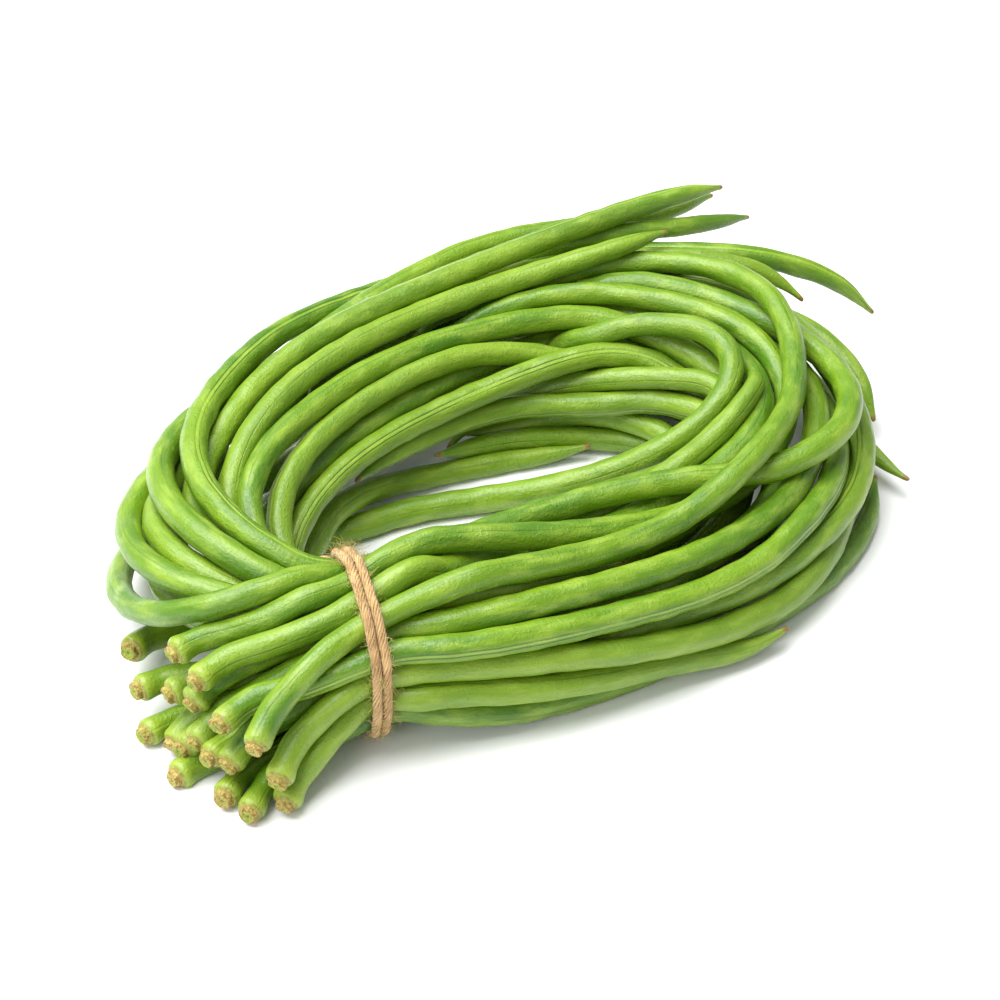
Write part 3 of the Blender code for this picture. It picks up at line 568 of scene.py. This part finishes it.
outline = tied_outline()
on_inner_side = np.where(outline[:, 0] < 0, np.abs(outline[:, 1] - KNOT_HEIGHT), np.inf)
outline = np.roll(outline, -on_inner_side.argmin(), axis=0)
corners = np.vstack([*[outline] * TWINE_TURNS, outline[:1]])
run = np.append(0, np.cumsum(np.linalg.norm(np.diff(corners, axis=0), axis=1)))
even = np.linspace(0, run[-1], WOUND_POINTS)
corners = np.column_stack([np.interp(even, run, corners[:, axis]) for axis in range(2)])
corners[1:-1] += 0.5 * ((corners[:-2] + corners[2:]) / 2 - corners[1:-1])  # softens the corners
wound = in_tie(TWINE_TURNS * TWINE_PITCH * (even / run[-1] - 0.5), corners[:, 0], corners[:, 1])
knot_out, knot_up = outline[0]
along, away, below = np.array(KNOT_ROUTE).T
tails = in_tie(along, knot_out - away, knot_up - below)

# The yarns of the turns and of the knot: brown-gold fibre tones, darker brown in their furrows as painted
# shade and pale gold on top as a painted highlight.
jute_yarn = jute("jute_yarn", "#7A5428", "#D9B47E")
twine = [twine_yarn("twine", number, wound) for number in range(YARNS)]
twine += [twine_yarn("knot", number, tails) for number in range(YARNS)]

# The fuzz: hair-thin loose fibres that curl off the twine, a paler gold than the yarns.
jute_fuzz = jute("jute_fuzz", "#8E7A2C", "#C8B560")
FIBRES = 1500
FIBRE_RADIUS = (0.04, 0.07)
FIBRE_LENGTH = (1.2, 4.6)
FIBRE_CURL = (0.25, 0.8)
FIBRE_BEND = 0.8
FIBRE_LEAN = 0.8
FIBRE_STAND = (0.25, 1.0)
FIBRE_ROOT = 0.9  # of the twine's radius
FIBRE_SIDES = 3
FIBRE_ROWS = 12
chance = np.random.default_rng(5)
heading, side, up = frames_along(wound)
fuzz = bmesh.new()
for _ in range(FIBRES):
    spot = chance.integers(1, len(wound) - 1)
    around = chance.uniform(0, math.tau)
    outward = side[spot] * math.cos(around) + up[spot] * math.sin(around)
    lean = outward * chance.uniform(*FIBRE_STAND) + heading[spot] * chance.normal(0, FIBRE_LEAN)
    share = np.linspace(0, 1, FIBRE_ROWS)[:, None]
    length = chance.uniform(*FIBRE_LENGTH)
    root = wound[spot] + outward * TWINE_RADIUS * FIBRE_ROOT
    curl = chance.uniform(*FIBRE_CURL) * share
    curl = curl * np.sin(share * chance.uniform(4, 12, 3) + chance.uniform(0, math.tau, 3))
    bend = share**2 * chance.normal(0, FIBRE_BEND, 3)
    line = root + length * share * lean / np.linalg.norm(lean) + curl + bend
    radii = np.full((FIBRE_ROWS, FIBRE_SIDES + 1), chance.uniform(*FIBRE_RADIUS))
    radii[[0, -1]] = 0
    turn = np.repeat(np.linspace(0, math.tau, FIBRE_SIDES + 1)[None], FIBRE_ROWS, axis=0)
    shade = np.full((*radii.shape, 3), chance.uniform())
    fibre = rolled_skin("fibre", line, radii, turn, {"straight": shade})
    fuzz.from_mesh(fibre.data)
    bpy.data.meshes.remove(fibre.data)
fuzz_mesh = bpy.data.meshes.new("twine_fuzz")
fuzz.to_mesh(fuzz_mesh)
fuzz.free()
twine.append(bpy.data.objects.new("twine_fuzz", fuzz_mesh))
bpy.context.scene.collection.objects.link(twine[-1])
for piece in twine:
    piece.data.materials.append(jute_fuzz if piece.name == "twine_fuzz" else jute_yarn)
    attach(piece, "root")
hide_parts("twine_tie")

# ---- floor, light and camera ----
# A seamless white table under one big soft light above and behind to the left, with a weak fill.
def white_table():
    """Matt white board: bright and even, with hardly any shine, so it shows only the soft shadows."""
    made = bpy.data.materials.new("white_table")
    made.use_nodes = True
    shader = made.node_tree.nodes["Principled BSDF"]
    shader.inputs["Base Color"].default_value = linear("#F4F4F5")
    shader.inputs["Roughness"].default_value = 0.7
    shader.inputs["Specular IOR Level"].default_value = 0.2
    return made


bpy.ops.mesh.primitive_plane_add(size=8)
floor = bpy.context.object
floor.name = "floor"
floor.data.materials.append(white_table())

# (name, place in metres, diameter in metres, watts)
LIGHTS = [("sky_panel", (-0.45, 0.35, 1.5), 1.8, 62.0), ("side_panel", (-1.4, -0.9, 1.0), 0.8, 8.5)]
for light_name, place, size, power in LIGHTS:
    lamp = bpy.data.lights.new(light_name, "AREA")
    lamp.shape = "DISK"
    lamp.size = size
    lamp.energy = power
    holder = bpy.data.objects.new(light_name, lamp)
    holder.location = place
    holder.rotation_euler = (-Vector(place)).to_track_quat("-Z", "Y").to_euler()
    bpy.context.scene.collection.objects.link(holder)

world = bpy.data.worlds.new("studio")
world.use_nodes = True
world.node_tree.nodes["Background"].inputs["Color"].default_value = (1, 1, 1, 1)
world.node_tree.nodes["Background"].inputs["Strength"].default_value = 0.46
bpy.context.scene.world = world
bpy.context.scene.view_settings.view_transform = "Standard"

CAMERA_PLACE = Vector((-297.5, -614.0, 578.5))
CAMERA_AIM = Vector((-6.1, 10.8, 0.0))
CAMERA_LENS = 92.34
camera = bpy.data.cameras.new("camera")
camera.lens = CAMERA_LENS
camera.clip_end = 20
viewer = bpy.data.objects.new("camera", camera)
viewer.location = CAMERA_PLACE * MM
viewer.rotation_euler = (CAMERA_AIM * MM - viewer.location).to_track_quat("-Z", "Y").to_euler()
bpy.context.scene.collection.objects.link(viewer)
bpy.context.scene.camera = viewer
